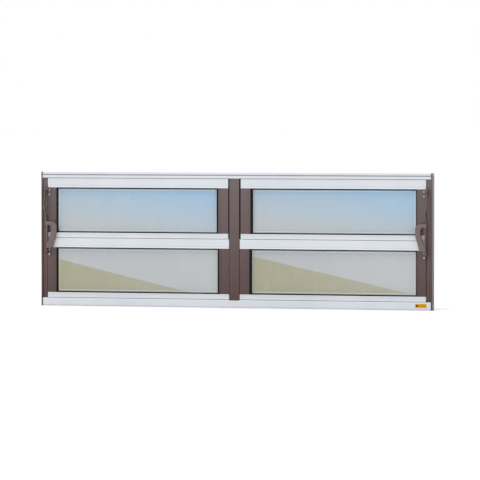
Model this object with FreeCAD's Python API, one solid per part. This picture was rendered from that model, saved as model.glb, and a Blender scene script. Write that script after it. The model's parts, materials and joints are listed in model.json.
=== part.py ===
import FreeCAD, Part
import math
import os

# Two-section window in a frame with a mullion: each section has a tilting sash over a fixed light.
# A lever with a D handle turns on the fixed light's bracket, and a short link joins it to the sash.
# X runs along the window, +Y points outdoors, +Z is up.
# The origin is the middle of the sill's underside, in the plane of the glass.

# Driving dimensions, millimetres
overall_width = 1200.0
overall_height = 400.0
frame_depth = 25.0
wall = 1.5                    # wall of every extrusion
clip_depth = 1.0              # head, sill and mullion faces sit this far behind the jamb noses

jamb_nose = 5.0               # outer lip of the jamb
nose_round = 2.0
jamb_width = 18.4
jamb_setback = 4.5            # recessed jamb face, behind the nose

head_drop = 18.2              # height of the head's front face
head_groove_height = 3.2
head_groove_depth = 2.5
head_groove_from_top = 7.4
edge_round = 2.0
sill_rise = 23.8
sill_base = 8.0
sill_lip = 4.0
sill_lip_set = 3.0
stop_depth = 14.0             # depth of the head's downstand and of the sill's upstand
mullion_width = 30.0

sash_depth = 20.0
sash_gap = 1.2                # between a sash and what it shuts against, up and down
lap = 13.0                    # overlap of the fins
fin = 2.5                     # thickness of a lap fin
rail_height = 28.0
jamb_stile_width = 27.7
mullion_stile_width = 30.5
jamb_gap = 1.6                # between sash and jamb
upper_mullion_gap = 4.0
lower_mullion_gap = 1.0
end_chamfer = 1.0

groove_depth = 7.0            # glazing groove in rails and stiles
groove_width = 10.0
glass_thickness = 4.0
glass_bite = 5.0              # how far the glass goes into the groove
gasket_lip = 3.0              # how much gasket shows around the glass

pivot_radius = 4.0
pivot_clearance = 0.05
pivot_reach = 11.0            # pin length inside the stile, and in the jamb or mullion
bush_wall = 2.0
bush_length = 9.0

fixing_pin_radius = 3.0       # pins that hold the fixed lights
fixing_pin_offset = 45.0      # above and below the middle of the light

seal_depth = 4.0
seal_height = 6.0
mullion_seal_width = 3.4
jamb_seal_thickness = 1.0
seal_clearance = 1.0

frame_screw_radius = 1.9
frame_screw_head = 3.6
frame_screw_sink = 2.0
frame_screw_length = 22.0
mullion_screw_grip = 12.0     # of the mullion's upper screw, below the head
screw_port_wall = 1.4
port_sink = 0.3               # how far a screw port is let into the wall it runs along
fixing_hole_radius = 2.75     # wall fixings through the jambs
fixing_spacing = 200.0
fixing_depth = 8.0            # how far outdoors of the glass plane they sit

bracket_thickness = 2.0
bracket_width = 11.0
bracket_top = 31.5            # below the top of the sash
bracket_height = 25.5
screw_drops = (35.0, 49.0)    # bracket screws below the top of the sash
screw_inset = 5.2             # bracket screws in from the edge of the sash
bracket_screw_radius = 1.8
bracket_screw_head = 2.9
bracket_screw_rise = 1.9
bracket_screw_length = 9.0
bracket_screw_round = 1.1

sash_pin_drop = 34.0          # link's upper pin, below the top of the sash
lever_pin_drop = 40.0         # lever's pivot, below the top of the fixed light
pin_forward = 6.5             # both pins in front of the sash face
pin_radius = 2.5
pin_head = 5.0
pin_head_height = 1.5
pin_clearance = 0.05
open_pivot_clearance = 0.9    # the link's upper pin, which no joint closes
ear_radius = 5.5

strap_thickness = 2.5         # of the lever and of the link
strap_width = 12.0
strap_side_gap = 0.6          # between the lever and the edge of the sash
strap_step = 0.2              # between the lever and the link
joint_drop = 55.6             # pin that joins lever and link, below the link's upper pin
joint_forward = 14.0          # and in front of it
lever_bend = 3.0              # where the lever turns forward, above the handle

handle_thickness = 9.0
handle_standoff = 2.5         # back of the handle in front of the sash face
handle_rise = 8.8             # lower end of the handle above the lever's pivot
handle_height = 80.4
handle_reach = 31.0           # grip beyond the lever
handle_stub = 1.2             # top arm past the outer side of the lever
handle_arm = 10.4
handle_straight = 33.4        # upright length of the grip, from its top
handle_tip = 17.6             # width of the lower end
handle_web = 2.8              # upright between lever and hole
hole_width = 12.0
hole_top = 22.4               # upright side of the hole
hole_bottom = 14.0            # solid foot under the hole
handle_cover = 2.2            # material in front of the lever
stub_round = 2.0
grip_top_round = 14.0
grip_bend_round = 12.0
grip_tip_round = 7.0
hole_corner_round = 2.5
hole_top_round = 8.5
hole_tip_round = 1.0
handle_round = 3.0            # rounding of the grip's outer rim
hole_round = 1.0              # rounding of the hole's rim
rivet_radius = 2.0
rivet_head = 3.2
rivet_head_height = 1.2
foot_rivet_reach = 5.9        # from the lever into the handle's foot

label_width = 35.0
label_height = 11.4
label_thickness = 0.3
label_from_end = 17.0
label_above = 7.7

same_place = 1e-6             # tolerances for finding edges
rim_margin = 0.1
hole_margin = 1.0             # how far a cutting body goes past the handle's faces

# Levels and planes that follow from them
half_width = overall_width / 2
front = -frame_depth / 2
back = frame_depth / 2
face = front + clip_depth
sash_front = -sash_depth / 2
sash_back = sash_depth / 2
head_bottom = overall_height - head_drop
sash_height = (head_bottom - sill_rise - 3 * sash_gap) / 2 + lap
sash_pitch = sash_height + sash_gap - lap
upper_top = head_bottom - sash_gap
lower_top = upper_top - sash_pitch
head_stop_bottom = upper_top - lap + sash_gap
stop_back = face + stop_depth
stop_front = back - clip_depth - stop_depth
jamb_face = front + jamb_setback
sash_edge = half_width - jamb_width - jamb_gap
strap_inner = sash_edge + strap_side_gap
strap_outer = strap_inner + strap_thickness
link_inner = strap_outer + strap_step
link_outer = link_inner + strap_thickness
pin_y = sash_front - pin_forward
sash_pin_z = upper_top - sash_pin_drop
lever_pin_z = lower_top - lever_pin_drop
joint_y = pin_y - joint_forward
joint_z = sash_pin_z - joint_drop
handle_low = lever_pin_z + handle_rise
handle_high = handle_low + handle_height
handle_back = sash_front - handle_standoff
handle_front = handle_back - handle_thickness
wing_front = handle_front + handle_cover
pivot_height = upper_top - sash_height / 2
bush_outer = pivot_radius + pivot_clearance + bush_wall
port_radius = frame_screw_radius + screw_port_wall
port_inset = port_radius - port_sink


def box(x0, x1, y0, y1, z0, z1):
    corner = FreeCAD.Vector(min(x0, x1), y0, z0)
    return Part.makeBox(abs(x1 - x0), y1 - y0, z1 - z0, corner)


def cylinder_x(x0, x1, y, z, radius):
    start = FreeCAD.Vector(min(x0, x1), y, z)
    return Part.makeCylinder(radius, abs(x1 - x0), start, FreeCAD.Vector(1, 0, 0))


def cylinder_y(x, z, y0, y1, radius):
    return Part.makeCylinder(radius, y1 - y0, FreeCAD.Vector(x, y0, z), FreeCAD.Vector(0, 1, 0))


def cylinder_z(x, y, z0, z1, radius):
    return Part.makeCylinder(radius, z1 - z0, FreeCAD.Vector(x, y, z0), FreeCAD.Vector(0, 0, 1))


def profile_along_x(points, x0, x1):
    """Extrude a closed outline of (y, z) points from x0 to x1."""
    corners = [FreeCAD.Vector(x0, y, z) for y, z in points + points[:1]]
    outline = Part.Face(Part.makePolygon(corners))
    return outline.extrude(FreeCAD.Vector(x1 - x0, 0, 0))


def rounded_outline(points, y):
    """Wire in an XZ plane through (x, z, radius) corners, each rounded by its radius."""
    edges = []
    count = len(points)
    ends = []
    for i in range(count):
        corner = FreeCAD.Vector(points[i][0], y, points[i][1])
        radius = points[i][2]
        before = FreeCAD.Vector(points[i - 1][0], y, points[i - 1][1]) - corner
        after = FreeCAD.Vector(points[(i + 1) % count][0], y, points[(i + 1) % count][1]) - corner
        before.normalize()
        after.normalize()
        half_angle = before.getAngle(after) / 2
        setback = radius / math.tan(half_angle)
        bisector = before + after
        bisector.normalize()
        middle = corner + bisector * (radius / math.sin(half_angle) - radius)
        ends.append((corner + before * setback, middle, corner + after * setback, radius))
    for i in range(count):
        start, middle, end, radius = ends[i]
        if radius > 0:
            edges.append(Part.Arc(start, middle, end).toShape())
        following = ends[(i + 1) % count][0]
        edges.append(Part.LineSegment(end, following).toShape())
    return Part.Wire(edges)


def plate_xz(points, y0, y1):
    """Plate between two Y planes with a rounded (x, z, radius) outline."""
    outline = Part.Face(rounded_outline(points, y0))
    return outline.extrude(FreeCAD.Vector(0, y1 - y0, 0))


def fuse_all(shapes):
    result = shapes[0]
    for shape in shapes[1:]:
        result = result.fuse(shape)
    return result.removeSplitter()


def mirrored(shape):
    return shape.mirror(FreeCAD.Vector(0, 0, 0), FreeCAD.Vector(1, 0, 0))


def edges_where(shape, test):
    return [edge for edge in shape.Edges if test(edge)]


def edge_middle(edge):
    return edge.valueAt((edge.FirstParameter + edge.LastParameter) / 2)


# Frame

def head_outline():
    """Front face, rounded top edge and the downstand behind the sash's top fin."""
    return [
        (face, head_bottom),
        (face, overall_height - edge_round),
        (face + edge_round, overall_height),
        (back, overall_height),
        (back, head_stop_bottom),
        (stop_front, head_stop_bottom),
        (stop_front, head_bottom),
    ]


def sill_outline():
    """Undercut lip, front upstand and the low base behind it that lets the bottom fin swing."""
    return [
        (face + sill_lip_set, 0),
        (back, 0),
        (back, sill_base),
        (stop_back, sill_base),
        (stop_back, sill_rise),
        (face + edge_round, sill_rise),
        (face, sill_rise - edge_round),
        (face, sill_lip),
    ]


def head_ports():
    height = overall_height - wall - port_inset
    return [(stop_front, height), (back - wall - port_inset, height)]


def sill_ports():
    return [
        (face + sill_lip_set + wall + port_inset, sill_rise / 2),
        (back - wall - port_inset, sill_base / 2),
    ]


def port(y, z):
    """Screw port that runs the whole length of the head or the sill."""
    return cylinder_x(-half_width + jamb_nose, half_width - jamb_nose, y, z, port_radius)


def port_hole(y, z):
    return cylinder_x(-half_width + jamb_nose, half_width - jamb_nose, y, z, frame_screw_radius)


def head():
    end = half_width - jamb_nose
    outer = profile_along_x(head_outline(), -end, end)
    inner_front = face + head_groove_depth + wall
    hollow = box(-end, end, inner_front, back - wall, head_bottom + wall, overall_height - wall)
    stop_hollow = box(-end, end, stop_front + wall, back - wall, head_stop_bottom + wall, head_bottom + wall)
    groove_top = overall_height - head_groove_from_top
    groove = box(-end, end, face, face + head_groove_depth, groove_top - head_groove_height, groove_top)
    shape = outer.cut(hollow).cut(stop_hollow).cut(groove)
    ports = [port(y, z) for y, z in head_ports()]
    shape = fuse_all([shape] + ports)
    for y, z in head_ports():
        shape = shape.cut(port_hole(y, z))
    for screw in mullion_screws_top():
        shape = shape.cut(screw)
    return shape


def sill():
    end = half_width - jamb_nose
    outer = profile_along_x(sill_outline(), -end, end)
    inner_front = face + sill_lip_set + wall
    hollow = box(-end, end, inner_front, stop_back - wall, wall, sill_rise - wall)
    base_hollow = box(-end, end, stop_back - wall, back - wall, wall, sill_base - wall)
    shape = outer.cut(hollow).cut(base_hollow)
    ports = [port(y, z) for y, z in sill_ports()]
    shape = fuse_all([shape] + ports)
    for y, z in sill_ports():
        shape = shape.cut(port_hole(y, z))
    for screw in mullion_screws_bottom():
        shape = shape.cut(screw)
    return shape


def envelopes():
    end = half_width - jamb_nose
    return [profile_along_x(head_outline(), -end, end), profile_along_x(sill_outline(), -end, end)]


def fixing_pin_heights():
    middle = lower_top - sash_height / 2
    return [middle - fixing_pin_offset, middle + fixing_pin_offset]


def fixing_heights():
    middle = overall_height / 2
    return [middle - fixing_spacing / 2, middle + fixing_spacing / 2]


def jamb_left():
    """Full-height nose with a recessed hollow body between head and sill."""
    outer_side = -half_width
    nose = box(outer_side, outer_side + jamb_nose, front, back, 0, overall_height)
    front_edges = edges_where(nose, lambda edge: abs(edge_middle(edge).y - front) < same_place)
    nose = nose.makeFillet(nose_round, front_edges)
    body = box(outer_side + jamb_nose, outer_side + jamb_width, jamb_face, back, sill_base, head_bottom)
    for envelope in envelopes():
        body = body.cut(envelope)
    hollow = box(outer_side + jamb_nose, outer_side + jamb_width - wall,
                 jamb_face + wall, back - wall, 0, overall_height)
    shape = fuse_all([nose, body.cut(hollow)])
    side = outer_side + jamb_width
    shape = shape.cut(cylinder_x(side - bush_length, side, 0, pivot_height, bush_outer))
    for height in fixing_pin_heights():
        shape = shape.cut(cylinder_x(side - bush_length, side, 0, height, fixing_pin_radius))
    for height in fixing_heights():
        shape = shape.cut(cylinder_x(outer_side, side, fixing_depth, height, fixing_hole_radius))
    for screw in corner_screws_left():
        shape = shape.cut(screw)
    return shape


def mullion():
    half = mullion_width / 2
    shape = box(-half, half, face, back, sill_base, head_bottom)
    front_edges = edges_where(shape, lambda edge: abs(edge_middle(edge).y - face) < same_place
                              and abs(edge.Vertexes[0].Z - edge.Vertexes[1].Z) > 1)
    shape = shape.makeFillet(edge_round / 2, front_edges)
    for envelope in envelopes():
        shape = shape.cut(envelope)
    shape = shape.cut(box(-half + wall, half - wall, face + wall, back - wall, 0, overall_height))
    upright_port = cylinder_z(0, back - wall - port_inset, sill_base, head_stop_bottom, port_radius)
    shape = fuse_all([shape, upright_port])
    for screw in mullion_screws_top() + mullion_screws_bottom():
        shape = shape.cut(screw)
    shape = shape.cut(cylinder_x(-half, half, 0, pivot_height, bush_outer))
    for height in fixing_pin_heights():
        shape = shape.cut(cylinder_x(-half, half, 0, height, fixing_pin_radius))
    return shape


def countersunk_screw():
    """Screw along +X from its head's face at the origin."""
    start = FreeCAD.Vector(0, 0, 0)
    along = FreeCAD.Vector(1, 0, 0)
    cone = Part.makeCone(frame_screw_head, frame_screw_radius, frame_screw_sink, start, along)
    shank = Part.makeCylinder(frame_screw_radius, frame_screw_length, start, along)
    return cone.fuse(shank).removeSplitter()


def corner_screws_left():
    screws = []
    for y, z in head_ports() + sill_ports():
        screw = countersunk_screw()
        screw.translate(FreeCAD.Vector(-half_width, y, z))
        screws.append(screw)
    return screws


def upright_screw(height, turn):
    screw = countersunk_screw()
    screw.rotate(FreeCAD.Vector(0, 0, 0), FreeCAD.Vector(0, 1, 0), turn)
    screw.translate(FreeCAD.Vector(0, back - wall - port_inset, height))
    return screw


def mullion_screws_top():
    """One long screw, through the head's downstand as well."""
    tip = cylinder_z(0, back - wall - port_inset, head_stop_bottom - mullion_screw_grip,
                     overall_height - frame_screw_sink, frame_screw_radius)
    return [upright_screw(overall_height, 90).fuse(tip).removeSplitter()]


def mullion_screws_bottom():
    return [upright_screw(0, -90)]


def frame_screws():
    left = corner_screws_left()
    right = [mirrored(screw) for screw in left]
    return Part.makeCompound(left + right + mullion_screws_top() + mullion_screws_bottom())


def mullion_seals():
    """Black strips that fill the wider gap beside the two tilting sashes."""
    half = mullion_width / 2
    y0 = sash_front + seal_clearance
    strip = box(-half - mullion_seal_width, -half, y0, y0 + seal_depth,
                lower_top + sash_gap, head_bottom)
    return Part.makeCompound([strip, mirrored(strip)])


def jamb_seals():
    """Thin strips on the jambs, between their front edge and the pivot pins."""
    side = -half_width + jamb_width
    margin = seal_clearance / 2
    strip = box(side, side + jamb_seal_thickness, jamb_face + margin, -pivot_radius - margin,
                sill_rise, head_stop_bottom)
    return Part.makeCompound([strip, mirrored(strip)])


def sash_spans(mullion_gap):
    return -sash_edge, -mullion_width / 2 - mullion_gap


def head_seals():
    x0, x1 = sash_spans(upper_mullion_gap)
    z0 = (head_stop_bottom + head_bottom - seal_height) / 2
    strip = box(x0, x1, sash_front + fin + seal_clearance, stop_front, z0, z0 + seal_height)
    return Part.makeCompound([strip, mirrored(strip)])


def sill_seals():
    x0, x1 = sash_spans(lower_mullion_gap)
    z0 = sill_rise - seal_height - seal_clearance
    strip = box(x0, x1, stop_back, sash_back - fin - seal_clearance, z0, z0 + seal_height)
    return Part.makeCompound([strip, mirrored(strip)])


def bush(x0, x1):
    outer = cylinder_x(x0, x1, 0, pivot_height, bush_outer)
    return outer.cut(cylinder_x(x0, x1, 0, pivot_height, pivot_radius + pivot_clearance))


def pivot_bushes():
    """Two bushes for each tilting sash, one in the jamb and one in the mullion."""
    side = -half_width + jamb_width
    half = mullion_width / 2
    bushes = [bush(side - bush_length, side), bush(-half, -half + bush_length)]
    return Part.makeCompound(bushes + [mirrored(piece) for piece in bushes])


def sill_label():
    x1 = half_width - label_from_end
    return box(x1 - label_width, x1, face - label_thickness, face, label_above, label_above + label_height)


# Sash and fixed light, made for the left section and mirrored for the right

class Sash:
    """Left-hand glazed sash on round pins, with a bracket whose ear holds a lever or link pin."""

    def __init__(self, top, mullion_gap, side_pin_heights, side_pin_radius, ear_height):
        self.top = top
        self.bottom = top - sash_height
        self.x0, self.x1 = sash_spans(mullion_gap)
        self.gap = mullion_gap
        self.side_pin_heights = side_pin_heights
        self.side_pin_radius = side_pin_radius
        self.ear_height = ear_height
        self.light_x0 = self.x0 + jamb_stile_width
        self.light_x1 = self.x1 - mullion_stile_width
        self.light_z0 = self.bottom + rail_height
        self.light_z1 = self.top - rail_height

    def light(self, margin, depth):
        """Block over the glazed opening, larger by a margin on every side."""
        return box(self.light_x0 - margin, self.light_x1 + margin, -depth / 2, depth / 2,
                   self.light_z0 - margin, self.light_z1 + margin)

    def end_chamfered(self, rail):
        ends = edges_where(rail, lambda edge: abs(edge_middle(edge).y - sash_front) < same_place
                           and (abs(edge_middle(edge).x - self.x0) < same_place
                                or abs(edge_middle(edge).x - self.x1) < same_place))
        return rail.makeChamfer(end_chamfer, ends)

    def top_rail(self):
        outline = [
            (sash_front, self.top - rail_height),
            (sash_front, self.top),
            (sash_front + fin, self.top),
            (sash_front + fin, self.top - lap),
            (sash_back, self.top - lap),
            (sash_back, self.top - rail_height),
        ]
        rail = self.end_chamfered(profile_along_x(outline, self.x0, self.x1))
        hollow = box(self.x0, self.x1, sash_front + wall, sash_back - wall,
                     self.light_z1 + groove_depth + wall, self.top - lap - wall)
        return rail.cut(hollow).cut(self.light(groove_depth, groove_width))

    def bottom_rail(self):
        outline = [
            (sash_back, self.bottom + rail_height),
            (sash_back, self.bottom),
            (sash_back - fin, self.bottom),
            (sash_back - fin, self.bottom + lap),
            (sash_front, self.bottom + lap),
            (sash_front, self.bottom + rail_height),
        ]
        rail = self.end_chamfered(profile_along_x(outline, self.x0, self.x1))
        hollow = box(self.x0, self.x1, sash_front + wall, sash_back - wall,
                     self.bottom + lap + wall, self.light_z0 - groove_depth - wall)
        return rail.cut(hollow).cut(self.light(groove_depth, groove_width))

    def stile(self, x_outer, x_inner):
        inward = 1 if x_inner > x_outer else -1
        shape = box(x_outer, x_inner, sash_front, sash_back, self.light_z0, self.light_z1)
        hollow = box(x_outer + inward * wall, x_inner - inward * (groove_depth + wall),
                     sash_front + wall, sash_back - wall, self.light_z0, self.light_z1)
        shape = shape.cut(hollow).cut(self.light(groove_depth, groove_width))
        for height in self.side_pin_heights:
            shape = shape.cut(cylinder_x(x_outer, x_outer + inward * wall, 0, height, self.side_pin_radius))
        return shape

    def jamb_stile(self):
        shape = self.stile(self.x0, self.light_x0)
        for screw in self.screws():
            shape = shape.cut(screw)
        return shape

    def mullion_stile(self):
        return self.stile(self.x1, self.light_x1)

    def glass(self):
        return self.light(glass_bite, glass_thickness)

    def gasket(self):
        outer = self.light(groove_depth, groove_width)
        return outer.cut(self.light(-gasket_lip, groove_width)).cut(self.glass())

    def side_pins(self):
        """Pins from the stiles into the jamb and the mullion."""
        pins = []
        for height in self.side_pin_heights:
            pins.append(cylinder_x(self.x0 - jamb_gap - bush_length, self.x0 + pivot_reach,
                                   0, height, self.side_pin_radius))
            pins.append(cylinder_x(self.x1 - pivot_reach, self.x1 + self.gap + bush_length,
                                   0, height, self.side_pin_radius))
        return Part.makeCompound(pins)

    def bracket(self):
        """Angle: a flange on the stile's face and an ear that stands forward to the pin."""
        flange_top = self.top - bracket_top
        flange = box(self.x0, self.x0 + bracket_width, sash_front - bracket_thickness, sash_front,
                     flange_top - bracket_height, flange_top)
        inner_side = self.x0 + bracket_thickness
        ear_foot = box(self.x0, inner_side, pin_y, sash_front,
                       self.ear_height - ear_radius, self.ear_height + ear_radius)
        ear_end = cylinder_x(self.x0, inner_side, pin_y, self.ear_height, ear_radius)
        shape = fuse_all([flange, ear_foot, ear_end])
        shape = shape.cut(cylinder_x(self.x0, inner_side, pin_y, self.ear_height, pin_radius))
        for screw in self.screws():
            shape = shape.cut(screw)
        return shape

    def screws(self):
        """Pan-head screws through the flange into the stile."""
        result = []
        seat = sash_front - bracket_thickness
        top_face = seat - bracket_screw_rise
        for drop in screw_drops:
            x = self.x0 + screw_inset
            z = self.top - drop
            screw_head = cylinder_y(x, z, top_face, seat, bracket_screw_head)
            rim = edges_where(screw_head, lambda edge: abs(edge_middle(edge).y - top_face) < same_place)
            screw_head = screw_head.makeFillet(bracket_screw_round, rim)
            shank = cylinder_y(x, z, seat, seat + bracket_screw_length, bracket_screw_radius)
            result.append(screw_head.fuse(shank).removeSplitter())
        return result

    def bracket_screws(self):
        return Part.makeCompound(self.screws())

    def ear_pin(self, near_side, far_side):
        """Pin riveted flush into the ear, with a spacer up to a strap and a head beyond it."""
        z = self.ear_height
        head_end = -far_side - strap_step
        shank = cylinder_x(head_end, self.x0 + bracket_thickness, pin_y, z, pin_radius)
        outer_head = cylinder_x(head_end - pin_head_height, head_end, pin_y, z, pin_head)
        spacer = cylinder_x(-near_side + strap_step, self.x0, pin_y, z, pin_head)
        return fuse_all([shank, outer_head, spacer])


# Lever, link and handle of the left section

def strap_between(x_inner, x_outer, start, end):
    """Flat bar in the YZ plane with a round end about each of two (y, z) points."""
    half = strap_width / 2
    length = math.hypot(end[0] - start[0], end[1] - start[1])
    side_y = (end[1] - start[1]) / length * half
    side_z = (start[0] - end[0]) / length * half
    middle = profile_along_x([
        (start[0] + side_y, start[1] + side_z),
        (end[0] + side_y, end[1] + side_z),
        (end[0] - side_y, end[1] - side_z),
        (start[0] - side_y, start[1] - side_z),
    ], -x_outer, -x_inner)
    ends = [cylinder_x(-x_outer, -x_inner, y, z, half) for y, z in (start, end)]
    return fuse_all([middle] + ends)


def link():
    """Short bar from the sash's pin, where it is loose, to the pin it shares with the lever."""
    shape = strap_between(link_inner, link_outer, (pin_y, sash_pin_z), (joint_y, joint_z))
    loose = pin_radius + open_pivot_clearance
    shape = shape.cut(cylinder_x(-link_outer, -link_inner, pin_y, sash_pin_z, loose))
    return shape.cut(cylinder_x(-link_outer, -link_inner, joint_y, joint_z, pin_radius + pin_clearance))


def handle_rivet_heights():
    return [handle_low + hole_bottom / 2, handle_high - handle_arm / 2]


def lever():
    """Cranked bar: upright behind the handle's front, then forward to the link's lower pin."""
    half = strap_width / 2
    bend = handle_high + lever_bend
    outline = [
        (pin_y + half, lever_pin_z),
        (pin_y + half, bend),
        (joint_y + half, joint_z),
        (joint_y - half, joint_z),
        (wing_front, bend),
        (wing_front, handle_low),
        (pin_y - half, lever_pin_z),
    ]
    middle = profile_along_x(outline, -strap_outer, -strap_inner)
    pivots = ((pin_y, lever_pin_z), (joint_y, joint_z))
    ends = [cylinder_x(-strap_outer, -strap_inner, y, z, half) for y, z in pivots]
    shape = fuse_all([middle] + ends)
    shape = shape.cut(cylinder_x(-strap_outer, -strap_inner, pin_y, lever_pin_z, pin_radius + pin_clearance))
    shape = shape.cut(cylinder_x(-strap_outer, -strap_inner, joint_y, joint_z, pin_radius))
    for height in handle_rivet_heights():
        y = (handle_back + wing_front) / 2
        shape = shape.cut(cylinder_x(-strap_outer, -strap_inner, y, height, rivet_radius))
    return shape


def rim_edges(plate, beyond):
    """Edges on the front and back of the handle, further from the strap than a given X."""
    return edges_where(plate, lambda edge: edge_middle(edge).x > beyond
                       and min(abs(edge_middle(edge).y - handle_front),
                               abs(edge_middle(edge).y - handle_back)) < same_place)


def in_hole(edge, hole):
    return hole.distToShape(Part.Vertex(edge_middle(edge)))[0] < same_place


def handle():
    """D grip in the plane of the window; its top arm wraps the front of the lever."""
    low = handle_low
    high = handle_high
    side = -strap_inner
    stub = -strap_outer - handle_stub
    grip = side + handle_reach
    outline = [
        (stub, high, stub_round),
        (grip, high, grip_top_round),
        (grip, high - handle_straight, grip_bend_round),
        (side + handle_tip, low, grip_tip_round),
        (side, low, 0),
        (side, high - handle_arm, 0),
        (stub, high - handle_arm, stub_round),
    ]
    plate = plate_xz(outline, handle_front, handle_back)
    outer_rims = rim_edges(plate, side + rim_margin)
    plate = plate.makeFillet(handle_round, outer_rims)
    hole_side = side + handle_web
    hole = plate_xz([
        (hole_side, high - handle_arm, hole_corner_round),
        (hole_side + hole_width, high - handle_arm, hole_top_round),
        (hole_side + hole_width, high - handle_arm - hole_top, grip_bend_round),
        (hole_side, low + hole_bottom, hole_tip_round),
    ], handle_front - hole_margin, handle_back + hole_margin)
    shape = plate.cut(hole)
    inner_rims = [edge for edge in rim_edges(shape, hole_side - rim_margin) if in_hole(edge, hole)]
    shape = shape.makeFillet(hole_round, inner_rims)
    shape = shape.cut(box(-strap_outer, -strap_inner, wing_front, handle_back, low, high))
    for body in handle_rivets():
        shape = shape.cut(body)
    return shape


def rivet(x_start, x_end, y, z, radius, head_radius):
    """Rivet along X with a flat head at each end."""
    shank = cylinder_x(x_start, x_end, y, z, radius)
    heads = [
        cylinder_x(x_start - rivet_head_height, x_start, y, z, head_radius),
        cylinder_x(x_end, x_end + rivet_head_height, y, z, head_radius),
    ]
    return fuse_all([shank] + heads)


def handle_rivets():
    """Rivets that hold the handle to the lever: one in its foot, one sunk in its top arm."""
    y = (handle_back + wing_front) / 2
    foot, arm = handle_rivet_heights()
    foot_rivet = rivet(-strap_outer, -strap_inner + foot_rivet_reach, y, foot, rivet_radius, rivet_head)
    arm_rivet = cylinder_x(-strap_outer - handle_stub / 2, -strap_inner + handle_web, y, arm, rivet_radius)
    return [foot_rivet, arm_rivet]


def lever_rivets():
    """The pin that joins lever and link, and the handle's rivets."""
    joint = rivet(-link_outer - strap_step, -strap_inner, joint_y, joint_z, pin_radius, pin_head)
    return Part.makeCompound([joint] + handle_rivets())


def build_frame_nodes():
    left_jamb = jamb_left()
    return {
        "head": head(),
        "sill": sill(),
        "jamb_left": left_jamb,
        "jamb_right": mirrored(left_jamb),
        "mullion": mullion(),
        "frame_screws": frame_screws(),
        "mullion_seals": mullion_seals(),
        "jamb_seals": jamb_seals(),
        "head_seals": head_seals(),
        "sill_seals": sill_seals(),
        "pivot_bushes": pivot_bushes(),
        "sill_label": sill_label(),
    }


def sash_nodes(name, sash):
    return {
        name + "_top_rail": sash.top_rail(),
        name + "_bottom_rail": sash.bottom_rail(),
        name + "_jamb_stile": sash.jamb_stile(),
        name + "_mullion_stile": sash.mullion_stile(),
        name + "_glass": sash.glass(),
        name + "_gasket": sash.gasket(),
        name + "_side_pins": sash.side_pins(),
        name + "_bracket": sash.bracket(),
        name + "_bracket_screws": sash.bracket_screws(),
    }


def build_left_nodes():
    """Everything of the left section, by names without the side."""
    sash = Sash(upper_top, upper_mullion_gap, [pivot_height], pivot_radius, sash_pin_z)
    light = Sash(lower_top, lower_mullion_gap, fixing_pin_heights(), fixing_pin_radius, lever_pin_z)
    nodes = sash_nodes("upper", sash)
    nodes.update(sash_nodes("lower", light))
    nodes["link_pin"] = sash.ear_pin(link_inner, link_outer)
    nodes["lever_pin"] = light.ear_pin(strap_inner, strap_outer)
    nodes["link"] = link()
    nodes["lever"] = lever()
    nodes["handle"] = handle()
    nodes["lever_rivets"] = lever_rivets()
    return nodes


def main():
    os.makedirs("parts", exist_ok=True)
    nodes = build_frame_nodes()
    for name, shape in build_left_nodes().items():
        nodes["left_" + name] = shape
        nodes["right_" + name] = mirrored(shape)
    for name, shape in nodes.items():
        shape.exportStep("parts/" + name + ".step")
    print(len(nodes), "nodes")


main()
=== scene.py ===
import bmesh
import bpy
import json
import math
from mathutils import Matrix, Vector


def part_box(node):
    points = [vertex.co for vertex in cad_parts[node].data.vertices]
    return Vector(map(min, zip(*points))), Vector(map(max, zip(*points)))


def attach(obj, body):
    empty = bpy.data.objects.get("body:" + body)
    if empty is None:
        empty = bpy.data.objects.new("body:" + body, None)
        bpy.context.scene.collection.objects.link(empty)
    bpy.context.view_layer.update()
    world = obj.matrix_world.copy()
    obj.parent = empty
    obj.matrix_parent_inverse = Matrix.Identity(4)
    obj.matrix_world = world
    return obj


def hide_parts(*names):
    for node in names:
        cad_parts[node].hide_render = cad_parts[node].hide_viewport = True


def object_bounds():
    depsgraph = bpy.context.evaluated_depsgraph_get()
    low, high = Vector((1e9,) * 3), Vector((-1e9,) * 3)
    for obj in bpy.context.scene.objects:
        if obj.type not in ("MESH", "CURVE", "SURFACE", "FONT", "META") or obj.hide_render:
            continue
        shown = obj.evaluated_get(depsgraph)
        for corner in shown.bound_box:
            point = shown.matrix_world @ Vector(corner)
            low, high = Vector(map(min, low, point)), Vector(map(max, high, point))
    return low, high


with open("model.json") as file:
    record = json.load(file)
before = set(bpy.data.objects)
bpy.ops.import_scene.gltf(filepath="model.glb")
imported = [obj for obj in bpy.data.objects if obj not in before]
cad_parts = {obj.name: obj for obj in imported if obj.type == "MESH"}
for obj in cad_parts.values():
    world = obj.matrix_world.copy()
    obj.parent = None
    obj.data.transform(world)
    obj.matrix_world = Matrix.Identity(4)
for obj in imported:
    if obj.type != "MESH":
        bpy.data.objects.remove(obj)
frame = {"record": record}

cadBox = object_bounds()
record = frame["record"]
bodyNodes = record["behaviour"]["bodies"]
sides = {"left": -1, "right": 1}  # which way each section lies from the mullion
levels = ("upper", "lower")
millimetre = 0.001


def bodyOf(node):
    return next(body for body, nodes in bodyNodes.items() if node in nodes)


# white floor, soft light and a long lens

stage = {
    "floorColor": (0.95, 0.95, 0.955, 1),
    "floorRoughness": 0.9,
    "floorHalf": 70.0,
    "worldColor": (1.0, 1.0, 1.0, 1),
    "worldStrength": 1.0,
    "sunStrength": 0.85,
    "sunSpread": 30.0,
    "sunTurn": (20.0, -16.0, 0.0),
    "camPlace": (3.3221, -11.5351, 0.5885),
    "camYaw": 16.0,
    "camPitch": -1.853,
    "camLens": 305.31,
    "camSensor": 36,
    "camReach": 200,
    "lights": [
        # name, place, aim, size, watts
        ("keyLight", (-2.6, -3.4, 4.6), (0, 0, 0.2), 2.0, 22),
        ("backLight", (2.0, 4.0, 4.2), (0, 0, 0.2), 2.0, 16),
    ],
}


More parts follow.
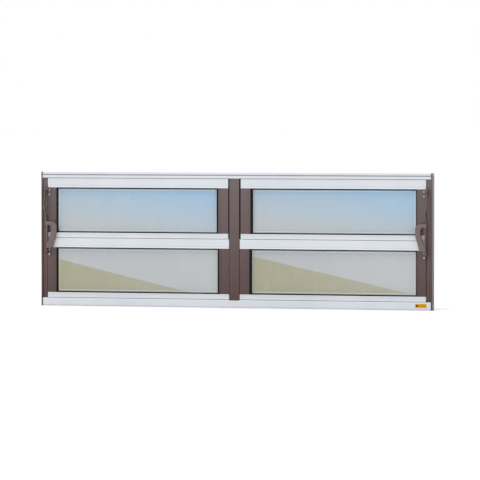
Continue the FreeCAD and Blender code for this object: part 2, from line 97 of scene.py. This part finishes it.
def newObject(name, mesh):
    obj = bpy.data.objects.new(name, mesh)
    bpy.context.scene.collection.objects.link(obj)
    return obj


def makeFloor():
    half = stage["floorHalf"]
    mesh = bpy.data.meshes.new("studioFloor")
    outline = [(-half, -half, 0), (half, -half, 0), (half, half, 0), (-half, half, 0)]
    mesh.from_pydata(outline, [], [(0, 1, 2, 3)])
    floor = newObject("studioFloor", mesh)
    paint = bpy.data.materials.new("studioPaint")
    paint.use_nodes = True
    shader = paint.node_tree.nodes["Principled BSDF"]
    shader.inputs["Base Color"].default_value = stage["floorColor"]
    shader.inputs["Roughness"].default_value = stage["floorRoughness"]
    mesh.materials.append(paint)


def makeLights():
    world = bpy.data.worlds.new("studioWorld")
    bpy.context.scene.world = world
    world.use_nodes = True
    background = world.node_tree.nodes["Background"]
    background.inputs["Color"].default_value = stage["worldColor"]
    background.inputs["Strength"].default_value = stage["worldStrength"]
    for name, place, aim, size, watts in stage["lights"]:
        lamp = bpy.data.lights.new(name, "AREA")
        lamp.size = size
        lamp.energy = watts
        obj = newObject(name, lamp)
        obj.location = place
        obj.rotation_euler = (Vector(aim) - Vector(place)).to_track_quat("-Z", "Y").to_euler()
    sun = bpy.data.lights.new("softSun", "SUN")
    sun.energy = stage["sunStrength"]
    sun.angle = math.radians(stage["sunSpread"])
    obj = newObject("softSun", sun)
    obj.rotation_euler = [math.radians(turn) for turn in stage["sunTurn"]]


def makeCamera():
    camera = bpy.data.cameras.new("studioCamera")
    camera.lens = stage["camLens"]
    camera.sensor_width = stage["camSensor"]
    camera.clip_end = stage["camReach"]
    obj = newObject("studioCamera", camera)
    obj.location = stage["camPlace"]
    obj.rotation_euler = (math.radians(90 + stage["camPitch"]), 0, math.radians(stage["camYaw"]))
    bpy.context.scene.camera = obj
    bpy.context.scene.view_settings.view_transform = "Standard"  # keeps the white coats white


makeFloor()
makeLights()
makeCamera()
print("stage done")


class Wire:
    # one node socket that can be added, multiplied and compared like a number
    def __init__(self, sheet, socket):
        self.sheet = sheet
        self.socket = socket

    def mix(self, operation, first, second):
        return self.sheet.add("ShaderNodeMath", {"operation": operation}, {0: first, 1: second})

    def __add__(self, other): return self.mix("ADD", self, other)
    def __radd__(self, other): return self.mix("ADD", other, self)
    def __sub__(self, other): return self.mix("SUBTRACT", self, other)
    def __rsub__(self, other): return self.mix("SUBTRACT", other, self)
    def __mul__(self, other): return self.mix("MULTIPLY", self, other)
    def __rmul__(self, other): return self.mix("MULTIPLY", other, self)
    def __truediv__(self, other): return self.mix("DIVIDE", self, other)
    def __rtruediv__(self, other): return self.mix("DIVIDE", other, self)
    def __gt__(self, other): return self.mix("GREATER_THAN", self, other)
    def __lt__(self, other): return self.mix("LESS_THAN", self, other)
    def __pow__(self, other): return self.mix("POWER", self, other)
    def __abs__(self): return self.mix("ABSOLUTE", self, 0.0)

    def least(self, other): return self.mix("MINIMUM", self, other)

    def clip(self):
        return self.sheet.add("ShaderNodeClamp", {}, {0: self})


class Sheet:
    # one material and the nodes in it
    def __init__(self, name):
        self.material = bpy.data.materials.new(name)
        self.material.use_nodes = True
        self.tree = self.material.node_tree
        self.shader = self.tree.nodes["Principled BSDF"]
        self.place = self.add("ShaderNodeTexCoord", {}, {}, "Object")
        split = self.node("ShaderNodeSeparateXYZ", {}, {0: self.place})
        self.x, self.y, self.z = [Wire(self, split.outputs[i]) for i in range(3)]

    def node(self, kind, settings, inputs):
        node = self.tree.nodes.new(kind)
        for key, value in settings.items():
            setattr(node, key, value)
        for key, value in inputs.items():
            socket = node.inputs[key]
            if isinstance(value, Wire):
                self.tree.links.new(value.socket, socket)
            else:
                socket.default_value = value
        return node

    def add(self, kind, settings, inputs, output=0):
        return Wire(self, self.node(kind, settings, inputs).outputs[output])

    def noise(self, scale, detail=3.0, roughness=0.5, stretch=None):
        where = self.place
        if stretch:
            where = self.add("ShaderNodeMapping", {}, {0: self.place, "Scale": stretch})
        return self.add("ShaderNodeTexNoise", {}, {"Vector": where, "Scale": scale, "Detail": detail,
                                                  "Roughness": roughness}, "Fac")

    def blend(self, amount, first, second):
        return self.add("ShaderNodeMix", {"data_type": "RGBA"}, {0: amount, 6: first, 7: second}, 2)

    def cells(self, scale):
        return self.add("ShaderNodeTexVoronoi", {}, {"Vector": self.place, "Scale": scale}, "Distance")

    def bump(self, height, strength, distance, edge=0.0):
        inputs = {"Height": height, "Strength": strength, "Distance": distance}
        if edge:
            inputs["Normal"] = self.add("ShaderNodeBevel", {"samples": 4}, {"Radius": edge})
        return self.add("ShaderNodeBump", {}, inputs)

    def finish(self, **inputs):
        names = {"color": "Base Color", "roughness": "Roughness", "metallic": "Metallic", "normal": "Normal",
                 "coat": "Coat Weight", "coatRoughness": "Coat Roughness", "specular": "Specular IOR Level",
                 "alpha": "Alpha", "ior": "IOR"}
        for key, value in inputs.items():
            socket = self.shader.inputs[names[key]]
            if isinstance(value, Wire):
                self.tree.links.new(value.socket, socket)
            else:
                socket.default_value = value
        return self.material


def rgb(red, green, blue):
    # linear colour from 0-255 display values
    def lin(v):
        v = v / 255
        return v / 12.92 if v <= 0.04045 else ((v + 0.055) / 1.055) ** 2.4
    return (lin(red), lin(green), lin(blue), 1)


# satin white coat of the head, sill and rails, with painted shade in the head's groove

whiteLook = {
    "clean": rgb(207, 211, 216),
    "soft": rgb(194, 199, 205),
    "dust": rgb(186, 188, 188),
    # painted shade for the head's groove
    "grooveShade": rgb(112, 116, 122),
    "cloudScale": 7.0,
    "peelScale": 900.0,
    "peelBump": 0.12,
    "dustScale": 26.0,
    "dustStretch": (0.35, 1.0, 1.0),
    "darkeningHeight": 0.03,  # the coat gets darker towards the bottom, up to this height
    "roughness": 0.32,
    "coat": 0.25,
    "grooveTop": 0.0074,  # head's groove, below the head's top
    "grooveHeight": 0.0032,
    "grooveFront": -0.0121,  # just behind the head's face
}


def headGroove(s):
    # where the painted groove shade goes: one inside the head's groove, nought elsewhere
    high = cadBox[1][2] - whiteLook["grooveTop"]
    low = high - whiteLook["grooveHeight"]
    return (s.z > low) * (s.z < high) * (s.y > whiteLook["grooveFront"]) * (s.y < 0.0)


def makeWhiteCoat():
    s = Sheet("whiteCoat")
    look = whiteLook
    cloud = s.noise(look["cloudScale"], 4.0, 0.55)
    peel = s.noise(look["peelScale"], 2.0, 0.6)
    dust = ((s.noise(look["dustScale"], 5.0, 0.65, look["dustStretch"]) - 0.56) * 4.0).clip()
    # darker towards the bottom of the coat, mixed below with the dust colour
    lowDarkening = (1.0 - s.z / look["darkeningHeight"]).clip() * 0.35
    color = s.blend((cloud * 1.4 - 0.2).clip(), look["clean"], look["soft"])
    color = s.blend((dust * 0.22 + lowDarkening * 0.4).clip(), color, look["dust"])
    # painted shade inside the head's groove, made patchy by the dust noise
    color = s.blend(headGroove(s) * (0.55 + dust * 0.3), color, look["grooveShade"])
    s.finish(color=color, roughness=look["roughness"] + cloud * 0.1 + dust * 0.12, coat=look["coat"],
             coatRoughness=0.25, normal=s.bump(peel, look["peelBump"], 0.0004, 0.0006))
    return s.material


# bronze coats: uprights and straps, and the cast handles

bronzeLook = {
    "top": rgb(99, 86, 86),
    "low": rgb(66, 40, 37),
    "warm": rgb(92, 66, 62),
    "fleck": rgb(150, 132, 124),
    "cloudScale": 9.0,
    "grainScale": 1300.0,
    "fleckScale": 1500.0,
    "fleckSize": 0.16,
    "fleckPatches": 260.0,
    "streakScale": 30.0,
    "streakStretch": (8.0, 8.0, 0.4),
    "roughness": 0.36,
    "metallic": 0.15,
    "coat": 0.2,
}


def makeBronzeCoat():
    s = Sheet("bronzeCoat")
    look = bronzeLook
    cloud = s.noise(look["cloudScale"], 4.0, 0.6)
    grain = s.noise(look["grainScale"], 2.0, 0.5)
    fleck = (s.cells(look["fleckScale"]) < look["fleckSize"]) * (s.noise(look["fleckPatches"]) > 0.52)
    height = ((s.z - cadBox[0][2]) / (cadBox[1][2] - cadBox[0][2])).clip()
    color = s.blend(height, look["low"], look["top"])
    color = s.blend((cloud - 0.35).clip() * 0.6, color, look["warm"])
    color = s.blend(fleck * 0.25, color, look["fleck"])
    streak = s.noise(look["streakScale"], 3.0, 0.6, look["streakStretch"])
    s.finish(color=color, roughness=look["roughness"] + streak * 0.14, metallic=look["metallic"],
             coat=look["coat"], coatRoughness=0.3, normal=s.bump(grain, 0.1, 0.0003, 0.0006))
    return s.material


handleLook = {
    "face": rgb(107, 90, 88),
    "dark": rgb(90, 75, 73),
    "castScale": 420.0,
    "cloudScale": 24.0,
    "wearScale": 55.0,
    "roughness": 0.34,
    "metallic": 0.25,
    "coat": 0.3,
}


def makeHandleBronze():
    s = Sheet("handleBronze")
    look = handleLook
    cast = s.noise(look["castScale"], 4.0, 0.6)
    cloud = s.noise(look["cloudScale"], 3.0, 0.6)
    worn = ((s.noise(look["wearScale"], 4.0, 0.65) - 0.5) * 3.0).clip()
    color = s.blend((cloud * 1.5 - 0.3).clip(), look["face"], look["dark"])
    color = s.blend(worn * 0.3, color, bronzeLook["fleck"])
    s.finish(color=color, roughness=look["roughness"] + cast * 0.16, metallic=look["metallic"],
             coat=look["coat"], coatRoughness=0.25, normal=s.bump(cast, 0.14, 0.0005, 0.0008))
    return s.material


# bare and bronzed steel of the screws, pins and rivets

steelLook = {
    "bright": rgb(212, 214, 217),
    "dull": rgb(168, 170, 172),
    # painted shade inside the cross slots of the flush corner screws
    "slot": rgb(40, 40, 42),
    "wear": rgb(176, 170, 166),
    "cloudScale": 160.0,
    "scratchScale": 90.0,
    "scratchStretch": (1.0, 12.0, 12.0),
    "metallic": 0.85,
    # frame's corner screws: y and z of their middles, then half width and reach of the cross slots
    "screwMiddles": [(-0.0025, 0.3955), (0.008, 0.3955), (-0.004, 0.0119), (0.008, 0.004)],
    "slotHalf": 0.00045,
    "slotReach": 0.0021,
    "bronzedCloud": 140.0,
    "bronzedWear": 420.0,
    "bronzedMetallic": 0.5,
}


def crossSlots(s, start):
    # the flush corner screws get their cross slots from a mask, as their heads lie below the face
    mask = start
    half, reach = steelLook["slotHalf"], steelLook["slotReach"]
    for y, z in steelLook["screwMiddles"]:
        across, up = abs(s.y - y), abs(s.z - z)
        mask = mask + (across < half) * (up < reach) + (up < half) * (across < reach)
    return mask.clip()


def makeSteel(name, slotted=False):
    s = Sheet(name)
    look = steelLook
    cloud = s.noise(look["cloudScale"], 4.0, 0.6)
    scratch = s.noise(look["scratchScale"], 3.0, 0.7, look["scratchStretch"])
    color = s.blend((cloud * 1.4 - 0.2).clip(), look["bright"], look["dull"])
    height = cloud * 0.3
    if slotted:
        slots = crossSlots(s, 0.0 * cloud)
        # the cross slots get painted shade, and the bump cuts them in
        color = s.blend(slots * 0.8, color, look["slot"])
        height = height - slots * 2.0
    s.finish(color=color, roughness=0.26 + scratch * 0.2, metallic=look["metallic"],
             normal=s.bump(height, 0.3, 0.0003, 0.0004))
    return s.material


def makeBronzedSteel():
    s = Sheet("bronzedSteel")
    look = steelLook
    cloud = s.noise(look["bronzedCloud"], 4.0, 0.6)
    worn = ((s.noise(look["bronzedWear"], 4.0, 0.7) - 0.6) * 5.0).clip()
    color = s.blend(cloud, bronzeLook["low"], bronzeLook["top"])
    color = s.blend(worn * 0.35, color, look["wear"])
    s.finish(color=color, roughness=0.3 + cloud * 0.2, metallic=look["bronzedMetallic"],
             normal=s.bump(cloud, 0.15, 0.0003, 0.0005))
    return s.material


# black rubber of the gaskets and weather strips, and the nylon bushes

rubberLook = {
    "gasket": rgb(8, 8, 9),
    "pile": rgb(10, 10, 11),
    "dust": rgb(60, 60, 62),
    "gasketRibs": 180.0,
    "pileRibs": 420.0,
    "ribWaver": 0.6,
    "grainScale": 700.0,
    "dustScale": 60.0,
    "roughness": 0.6,
    "specular": 0.2,
}


def makeRubber(name, shade, ribs):
    s = Sheet(name)
    look = rubberLook
    grain = s.noise(look["grainScale"], 3.0, 0.6)
    dust = ((s.noise(look["dustScale"], 5.0, 0.7) - 0.55) * 4.0).clip()
    rib = s.add("ShaderNodeTexWave", {"bands_direction": "Z"},
                {"Vector": s.place, "Scale": look[ribs], "Distortion": look["ribWaver"]}, "Fac")
    s.finish(color=s.blend(dust * 0.1, look[shade], look["dust"]), roughness=look["roughness"] + grain * 0.25,
             specular=look["specular"], normal=s.bump(grain * 0.6 + rib * 0.4, 0.3, 0.0004, 0.0005))
    return s.material


nylonLook = {"dark": rgb(52, 52, 54), "pale": rgb(84, 84, 88), "grainScale": 500.0, "roughness": 0.42}


def makeNylon():
    s = Sheet("bushNylon")
    grain = s.noise(nylonLook["grainScale"], 2.0, 0.5)
    s.finish(color=s.blend(grain * 0.4, nylonLook["dark"], nylonLook["pale"]),
             roughness=nylonLook["roughness"] + grain * 0.15, normal=s.bump(grain, 0.15, 0.0003))
    return s.material


# panes: painted reflections, a blue sky above, a pale haze with a green bank below

glassLook = {
    # colours of the painted reflections: sky and haze on the upper panes, haze and a green bank on the lower
    # ones
    "upperSky": rgb(141, 180, 211),
    "upperHaze": rgb(172, 180, 184),
    "upperWarm": rgb(184, 180, 184),
    "lowerHaze": rgb(171, 175, 179),
    "lowerPale": rgb(179, 183, 184),
    "lowerOlive": rgb(157, 154, 127),
    "edgeHighlight": rgb(214, 222, 226),
    "smear": rgb(206, 212, 216),
    "waverScale": 5.0,
    "smearScale": 34.0,
    "smearStretch": (1.0, 1.0, 0.3),
    "edgeIn": 0.0122,  # painted highlight: a pale line, in from the pane's edge under the gasket
    "edgeWidth": 0.0009,
    "bankHigh": {-1: 0.74, 1: 0.84},  # height of the green bank at the left end of each lower pane
    "bankLong": {-1: 0.9, 1: 1.08},  # and how far along the pane it runs out
    "bankCrisp": 45.0,
    "alpha": 0.93,
    "coat": 0.35,
    "specular": 0.4,
    "ior": 1.52,
}


def paneReflection(s, u, v, waver, upper, side):
    # painted reflection in the pane's own width u and height v
    look = glassLook
    if upper:
        sky = (u * 0.42 + v * 0.85 - 0.28 + waver * 0.35).clip()
        warm = ((waver + 0.1) * 2.5).clip() * (1.0 - v)
        return s.blend(warm * 0.35, s.blend(sky, look["upperHaze"], look["upperSky"]), look["upperWarm"])
    high, long = look["bankHigh"][side], look["bankLong"][side]
    bank = high - u * (high / long)
    hill = ((bank - v + waver * 0.02) * look["bankCrisp"]).clip() * (1.0 - u * 0.35)
    pale = s.blend((u * 0.8 + waver).clip(), look["lowerHaze"], look["lowerPale"])
    return s.blend(hill, pale, look["lowerOlive"])


def acrossBox(s, box):
    # place within a box's front, from nought to one each way
    (x0, _, z0), (x1, _, z1) = box
    return (s.x - x0) / (x1 - x0), (s.z - z0) / (z1 - z0)


def makeGlass(name, box, upper, side):
    s = Sheet(name)
    look = glassLook
    u, v = acrossBox(s, box)
    waver = s.noise(look["waverScale"], 3.0, 0.5) - 0.5
    smear = s.noise(look["smearScale"], 5.0, 0.6, look["smearStretch"])
    color = paneReflection(s, u, v, waver, upper, side)
    color = s.blend((smear - 0.5).clip() * 0.3, color, look["smear"])
    (x0, _, z0), (x1, _, z1) = box
    # painted highlight: a pale line a little way in from the pane's edge
    near = (s.x - x0).least(x1 - s.x).least(s.z - z0).least(z1 - s.z)
    line = abs(near - look["edgeIn"]) < look["edgeWidth"]
    color = s.blend(line * 0.8, color, look["edgeHighlight"])
    s.finish(color=color, roughness=0.08 + (smear - 0.4).clip() * 0.25, alpha=look["alpha"],
             coat=look["coat"], coatRoughness=0.04, specular=look["specular"], ior=look["ior"])
    return s.material


# plain sticker: border, one dark patch and a few ruled lines

labelLook = {
    "film": rgb(208, 140, 0),
    "ink": rgb(70, 36, 8),
    "pale": rgb(214, 160, 20),
    "border": (0.47, 0.42),  # half size of the printed field, of the sticker's width and height
    "patch": (0.18, 0.1, 0.3),  # the patch's middle, half width and half height
    "lines": (0.36, 0.9, 0.34),  # start, end and half height of the ruled lines
    "lineCount": 5.0,
    "lineShare": 0.35,
    "scuffScale": 300.0,
    "specular": 0.12,
}


def makeLabel(box):
    s = Sheet("labelFilm")
    look = labelLook
    u, v = acrossBox(s, box)
    fromMiddle = abs(v - 0.5)
    patchMiddle, patchWide, patchHigh = look["patch"]
    lineStart, lineEnd, lineHigh = look["lines"]
    inner = (abs(u - 0.5) < look["border"][0]) * (fromMiddle < look["border"][1])
    patch = (abs(u - patchMiddle) < patchWide) * (fromMiddle < patchHigh)
    ruled = s.add("ShaderNodeMath", {"operation": "FRACT"}, {0: v * look["lineCount"]}) < look["lineShare"]
    ruled = ruled * (u > lineStart) * (u < lineEnd) * (fromMiddle < lineHigh)
    scuff = s.noise(look["scuffScale"], 4.0, 0.7)
    color = s.blend(inner, look["pale"], look["film"])
    color = s.blend((patch + ruled * 0.55).clip() * 0.85, color, look["ink"])
    color = s.blend((scuff - 0.55).clip() * 0.8, color, look["pale"])
    s.finish(color=color, roughness=0.35 + scuff * 0.2, specular=look["specular"],
             normal=s.bump(scuff, 0.1, 0.0002))
    return s.material


whiteCoat = makeWhiteCoat()
bronzeCoat = makeBronzeCoat()
handleBronze = makeHandleBronze()
zincSteel = makeSteel("zincSteel")
slottedSteel = makeSteel("slottedSteel", True)
gasketRubber = makeRubber("gasketRubber", "gasket", "gasketRibs")
weatherPile = makeRubber("weatherPile", "pile", "pileRibs")
bushNylon = makeNylon()
bronzedSteel = makeBronzedSteel()
slotLooks = {
    "bronzed_steel": bronzedSteel,
    "white_coat": whiteCoat,
    "bronze_coat": bronzeCoat,
    "handle_bronze": handleBronze,
    "steel": zincSteel,
    "gasket_rubber": gasketRubber,
    "weather_strip": weatherPile,
    "bush_plastic": bushNylon,
}


def dressCadNodes():
    slots = {part["node"]: part["material_slot"] for part in record["subparts"]}
    for node, slot in slots.items():
        if slot == "glass":
            side = node.split("_")[0]
            look = makeGlass(node + "Tint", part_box(node), "_upper_" in node, sides[side])
        elif slot == "label":
            look = makeLabel(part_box(node))
        else:
            look = slottedSteel if node == "frame_screws" else slotLooks[slot]
        part = bpy.data.objects[node]
        if not part.data.materials:
            part.data.materials.append(look)
        for holder in part.material_slots:
            holder.link = "OBJECT"
            holder.material = look
    print("materials on", len(slots), "parts")


dressCadNodes()


# beads and rubber lips around the glass, on both faces

bead = {
    # millimetres: distance outwards from the opening's edge, height proud of the rail's face
    "ridge": [(0.0, -0.5), (0.0, 0.4), (0.3, 1.1), (0.9, 1.5), (1.7, 1.55), (2.4, 1.2), (2.8, 0.35),
              (3.2, 0.12), (6.4, 0.12), (6.8, 0.5), (7.3, 0.5), (7.7, -0.1), (7.7, -0.5)],
    "lip": [(-0.02, -4.9), (-0.02, -1.3), (-0.8, -0.9), (-1.8, -1.2), (-2.6, -2.4), (-3.2, -3.8),
            (-3.4, -5.2)],
    "wideLip": [(-0.02, -4.9), (-0.02, -0.5), (-1.6, -0.1), (-4.2, -0.2), (-5.4, -1.4), (-5.9, -3.4),
                (-6.1, -5.2)],
    "railEnd": 1.2,  # ridge stops this far from the rail's end
    "faceY": 0.010,  # metres, from the glass plane to the rails' faces
    "crease": 50,  # degrees; sharper turns of the section stay crisp
}


def openingOf(prefix):
    # the clear opening between the rails and stiles of one light
    stiles = [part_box(prefix + name) for name in ("_jamb_stile", "_mullion_stile")]
    x0, x1 = sorted(corner[0] for stile in stiles for corner in stile)[1:3]
    return x0, x1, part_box(prefix + "_bottom_rail")[1][2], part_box(prefix + "_top_rail")[0][2]


def run(section, start, end, outward, face, ends=(0, 0), mitred=True):
    # section swept from start to end; a mitred end follows the corner, a plain one runs on by its length
    verts = []
    faces = []
    along = (end - start).normalized()
    for point, sign, extra in ((start, -1, ends[0]), (end, 1, ends[1])):
        for out, proud in section:
            further = out * millimetre if mitred else extra
            place = point + outward * out * millimetre + along * sign * further
            verts.append((place.x, face * (bead["faceY"] + proud * millimetre), place.z))
    count = len(section)
    for i in range(count):
        j = (i + 1) % count
        faces.append((i, j, count + j, count + i))
    faces.append(tuple(range(count - 1, -1, -1)))
    faces.append(tuple(range(count, 2 * count)))
    return verts, faces


def meshOf(name, runs, look):
    verts = []
    faces = []
    for runVerts, runFaces in runs:
        faces += [tuple(i + len(verts) for i in face) for face in runFaces]
        verts += runVerts
    mesh = bpy.data.meshes.new(name)
    mesh.from_pydata(verts, [], faces)
    work = bmesh.new()
    work.from_mesh(mesh)
    bmesh.ops.recalc_face_normals(work, faces=work.faces)
    work.to_mesh(mesh)
    work.free()
    mesh.materials.append(look)
    for face in mesh.polygons:
        face.use_smooth = True
    mesh.set_sharp_from_angle(angle=math.radians(bead["crease"]))
    return newObject(name, mesh)


def corners(prefix):
    # the four edges of an opening: start, end, outward direction and how far a full-length run goes on
    x0, x1, z0, z1 = openingOf(prefix)
    low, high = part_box(prefix + "_top_rail")
    stop = bead["railEnd"] * millimetre
    over = (x0 - low[0] - stop, high[0] - x1 - stop)
    flat = [(Vector((x0, 0, z)), Vector((x1, 0, z)), Vector((0, 0, up)), over)
            for z, up in ((z1, 1), (z0, -1))]
    upright = [(Vector((x, 0, z0)), Vector((x, 0, z1)), Vector((out, 0, 0)), (0, 0))
               for x, out in ((x0, -1), (x1, 1))]
    return flat, upright


def makeBeads():
    groups = {}
    for side, sign in sides.items():
        for level in levels:
            prefix = side + "_" + level
            body = bodyOf(prefix + "_glass")
            flat, upright = corners(prefix)
            for face in (-1, 1):
                for key, edges in (("railBeads", flat), ("stileBeads", upright)):
                    bits = groups.setdefault((body, key), [])
                    for start, end, outward, over in edges:
                        bits.append(run(bead["ridge"], start, end, outward, face, over, False))
                lips = groups.setdefault((body, "rubberLips"), [])
                for start, end, outward, over in flat + upright:
                    kind = "wideLip" if outward.x * sign < 0 else "lip"  # wider beside the mullion
                    lips.append(run(bead[kind], start, end, outward, face))
    looks = {"railBeads": (whiteCoat, "white_coat"), "stileBeads": (bronzeCoat, "bronze_coat"),
             "rubberLips": (gasketRubber, "gasket_rubber")}
    for (body, key), runs in groups.items():
        look, slot = looks[key]
        piece = meshOf(body + "_" + key, runs, look)
        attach(piece, body)
    print("beads done:", len(groups), "pieces")


makeBeads()


class Plan:
    # geometry node tree with named inputs, for the screws and the domed heads
    def __init__(self, name, inputs):
        self.tree = bpy.data.node_groups.new(name, "GeometryNodeTree")
        self.tree.interface.new_socket("Geometry", in_out="INPUT", socket_type="NodeSocketGeometry")
        for key, kind in inputs.items():
            self.tree.interface.new_socket(key, in_out="INPUT", socket_type=kind)
        self.tree.interface.new_socket("Geometry", in_out="OUTPUT", socket_type="NodeSocketGeometry")
        self.source = self.tree.nodes.new("NodeGroupInput")
        self.result = self.tree.nodes.new("NodeGroupOutput")

    def given(self, key):
        return self.source.outputs[key]

    def add(self, kind, settings=None, inputs=None):
        node = self.tree.nodes.new(kind)
        for key, value in (settings or {}).items():
            setattr(node, key, value)
        for key, value in (inputs or {}).items():
            for one in value if isinstance(value, list) else [value]:
                if isinstance(one, bpy.types.NodeSocket):
                    self.tree.links.new(one, node.inputs[key])
                else:
                    node.inputs[key].default_value = one
        return node

    def math(self, operation, first, second):
        return self.add("ShaderNodeMath", {"operation": operation}, {0: first, 1: second}).outputs[0]

    def vector(self, x, y, z):
        return self.add("ShaderNodeCombineXYZ", {}, {0: x, 1: y, 2: z}).outputs[0]

    def end(self, instances, look):
        real = self.add("GeometryNodeRealizeInstances", {}, {0: instances})
        paint = self.add("GeometryNodeSetMaterial", {}, {"Geometry": real.outputs[0], "Material": look})
        self.tree.links.new(paint.outputs[0], self.result.inputs[0])


def aimedInstances(plan, shape):
    # one copy of the shape on each point, its Z turned to the point's aim
    aim = plan.add("GeometryNodeInputNamedAttribute", {"data_type": "FLOAT_VECTOR"}, {"Name": "aim"})
    turn = plan.add("FunctionNodeAlignRotationToVector", {"axis": "Z"}, {"Vector": aim.outputs[0]})
    return plan.add("GeometryNodeInstanceOnPoints", {}, {"Points": plan.given("Geometry"), "Instance": shape,
                                                         "Rotation": turn.outputs[0]}).outputs[0]


fixings = {
    "bracketScrew": {"Radius": 0.0029, "Height": 0.0019, "Recess Width": 0.0008, "Recess Depth": 0.0011},
    "pinDome": {"Radius": 0.0041, "Height": 0.0009},
    "screwSeat": 0.0019,  # from a bracket screw's foremost point back to the middle of its domed head
    "recessReach": 1.15,  # arms of the cross, as a share of the head's radius
    "segments": 28,
    "rings": 12,
}


def dome(plan, radius, height):
    ball = plan.add("GeometryNodeMeshUVSphere", {}, {"Segments": fixings["segments"],
                                                     "Rings": fixings["rings"], "Radius": 1.0})
    return plan.add("GeometryNodeTransform", {}, {"Geometry": ball.outputs[0],
                                                  "Scale": plan.vector(radius, radius, height)}).outputs[0]


def screwPlan():
    plan = Plan("crossScrews", {"Radius": "NodeSocketFloat", "Height": "NodeSocketFloat",
                                "Recess Width": "NodeSocketFloat", "Recess Depth": "NodeSocketFloat"})
    head = dome(plan, plan.given("Radius"), plan.given("Height"))
    reach = plan.math("MULTIPLY", plan.given("Radius"), fixings["recessReach"])
    deep = plan.math("MULTIPLY", plan.given("Recess Depth"), 2.0)  # bar's middle lies on the head's top
    bars = []
    for x, y in ((reach, plan.given("Recess Width")), (plan.given("Recess Width"), reach)):
        bar = plan.add("GeometryNodeMeshCube", {}, {"Size": plan.vector(x, y, deep)})
        lift = plan.vector(0.0, 0.0, plan.given("Height"))
        placed = plan.add("GeometryNodeTransform", {}, {"Geometry": bar.outputs[0], "Translation": lift})
        bars.append(placed.outputs[0])
    cut = plan.add("GeometryNodeMeshBoolean", {"operation": "DIFFERENCE"}, {"Mesh 1": head, "Mesh 2": bars})
    plan.end(aimedInstances(plan, cut.outputs[0]), zincSteel)
    return plan.tree


def domePlan():
    plan = Plan("domedRivets", {"Radius": "NodeSocketFloat", "Height": "NodeSocketFloat"})
    head = dome(plan, plan.given("Radius"), plan.given("Height"))
    smooth = plan.add("GeometryNodeSetShadeSmooth", {}, {"Geometry": head})
    plan.end(aimedInstances(plan, smooth.outputs[0]), bronzedSteel)
    return plan.tree


def grow(name, tree, points, values, body):
    # points are (place, aim); the tree's result becomes a plain mesh
    mesh = bpy.data.meshes.new(name + "Points")
    mesh.from_pydata([place for place, aim in points], [], [])
    aims = mesh.attributes.new("aim", "FLOAT_VECTOR", "POINT")
    for item, (place, aim) in zip(aims.data, points):
        item.vector = aim
    seed = newObject(name + "Seed", mesh)
    modifier = seed.modifiers.new("grow", "NODES")
    modifier.node_group = tree
    for item in tree.interface.items_tree:
        if item.item_type == "SOCKET" and item.in_out == "INPUT" and item.name in values:
            modifier[item.identifier] = values[item.name]
    bpy.context.view_layer.update()
    solid = bpy.data.meshes.new_from_object(seed.evaluated_get(bpy.context.evaluated_depsgraph_get()))
    bpy.data.objects.remove(seed)
    piece = newObject(name, solid)
    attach(piece, body)
    return piece


def middle(box):
    return [(box[0][i] + box[1][i]) / 2 for i in range(3)]


def makeFixings():
    screws = screwPlan()
    domes = domePlan()
    for side, sign in sides.items():
        for level in levels:
            node = side + "_" + level + "_bracket_screws"
            low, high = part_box(node)
            radius = fixings["bracketScrew"]["Radius"]
            seat = low[1] + fixings["screwSeat"]
            across = middle((low, high))[0]
            points = [((across, seat, z), (0, -1, 0)) for z in (low[2] + radius, high[2] - radius)]
            piece = grow(side + "_" + level + "_crossScrews", screws, points, fixings["bracketScrew"],
                         bodyOf(node))
            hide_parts(node)
        for pin in ("link_pin", "lever_pin"):
            node = side + "_" + pin
            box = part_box(node)
            outer = box[0][0] if sign < 0 else box[1][0]
            place = (outer, middle(box)[1], middle(box)[2])
            grow(node + "Dome", domes, [(place, (sign, 0, 0))], fixings["pinDome"], bodyOf(node))
    print("fixings done")


makeFixings()
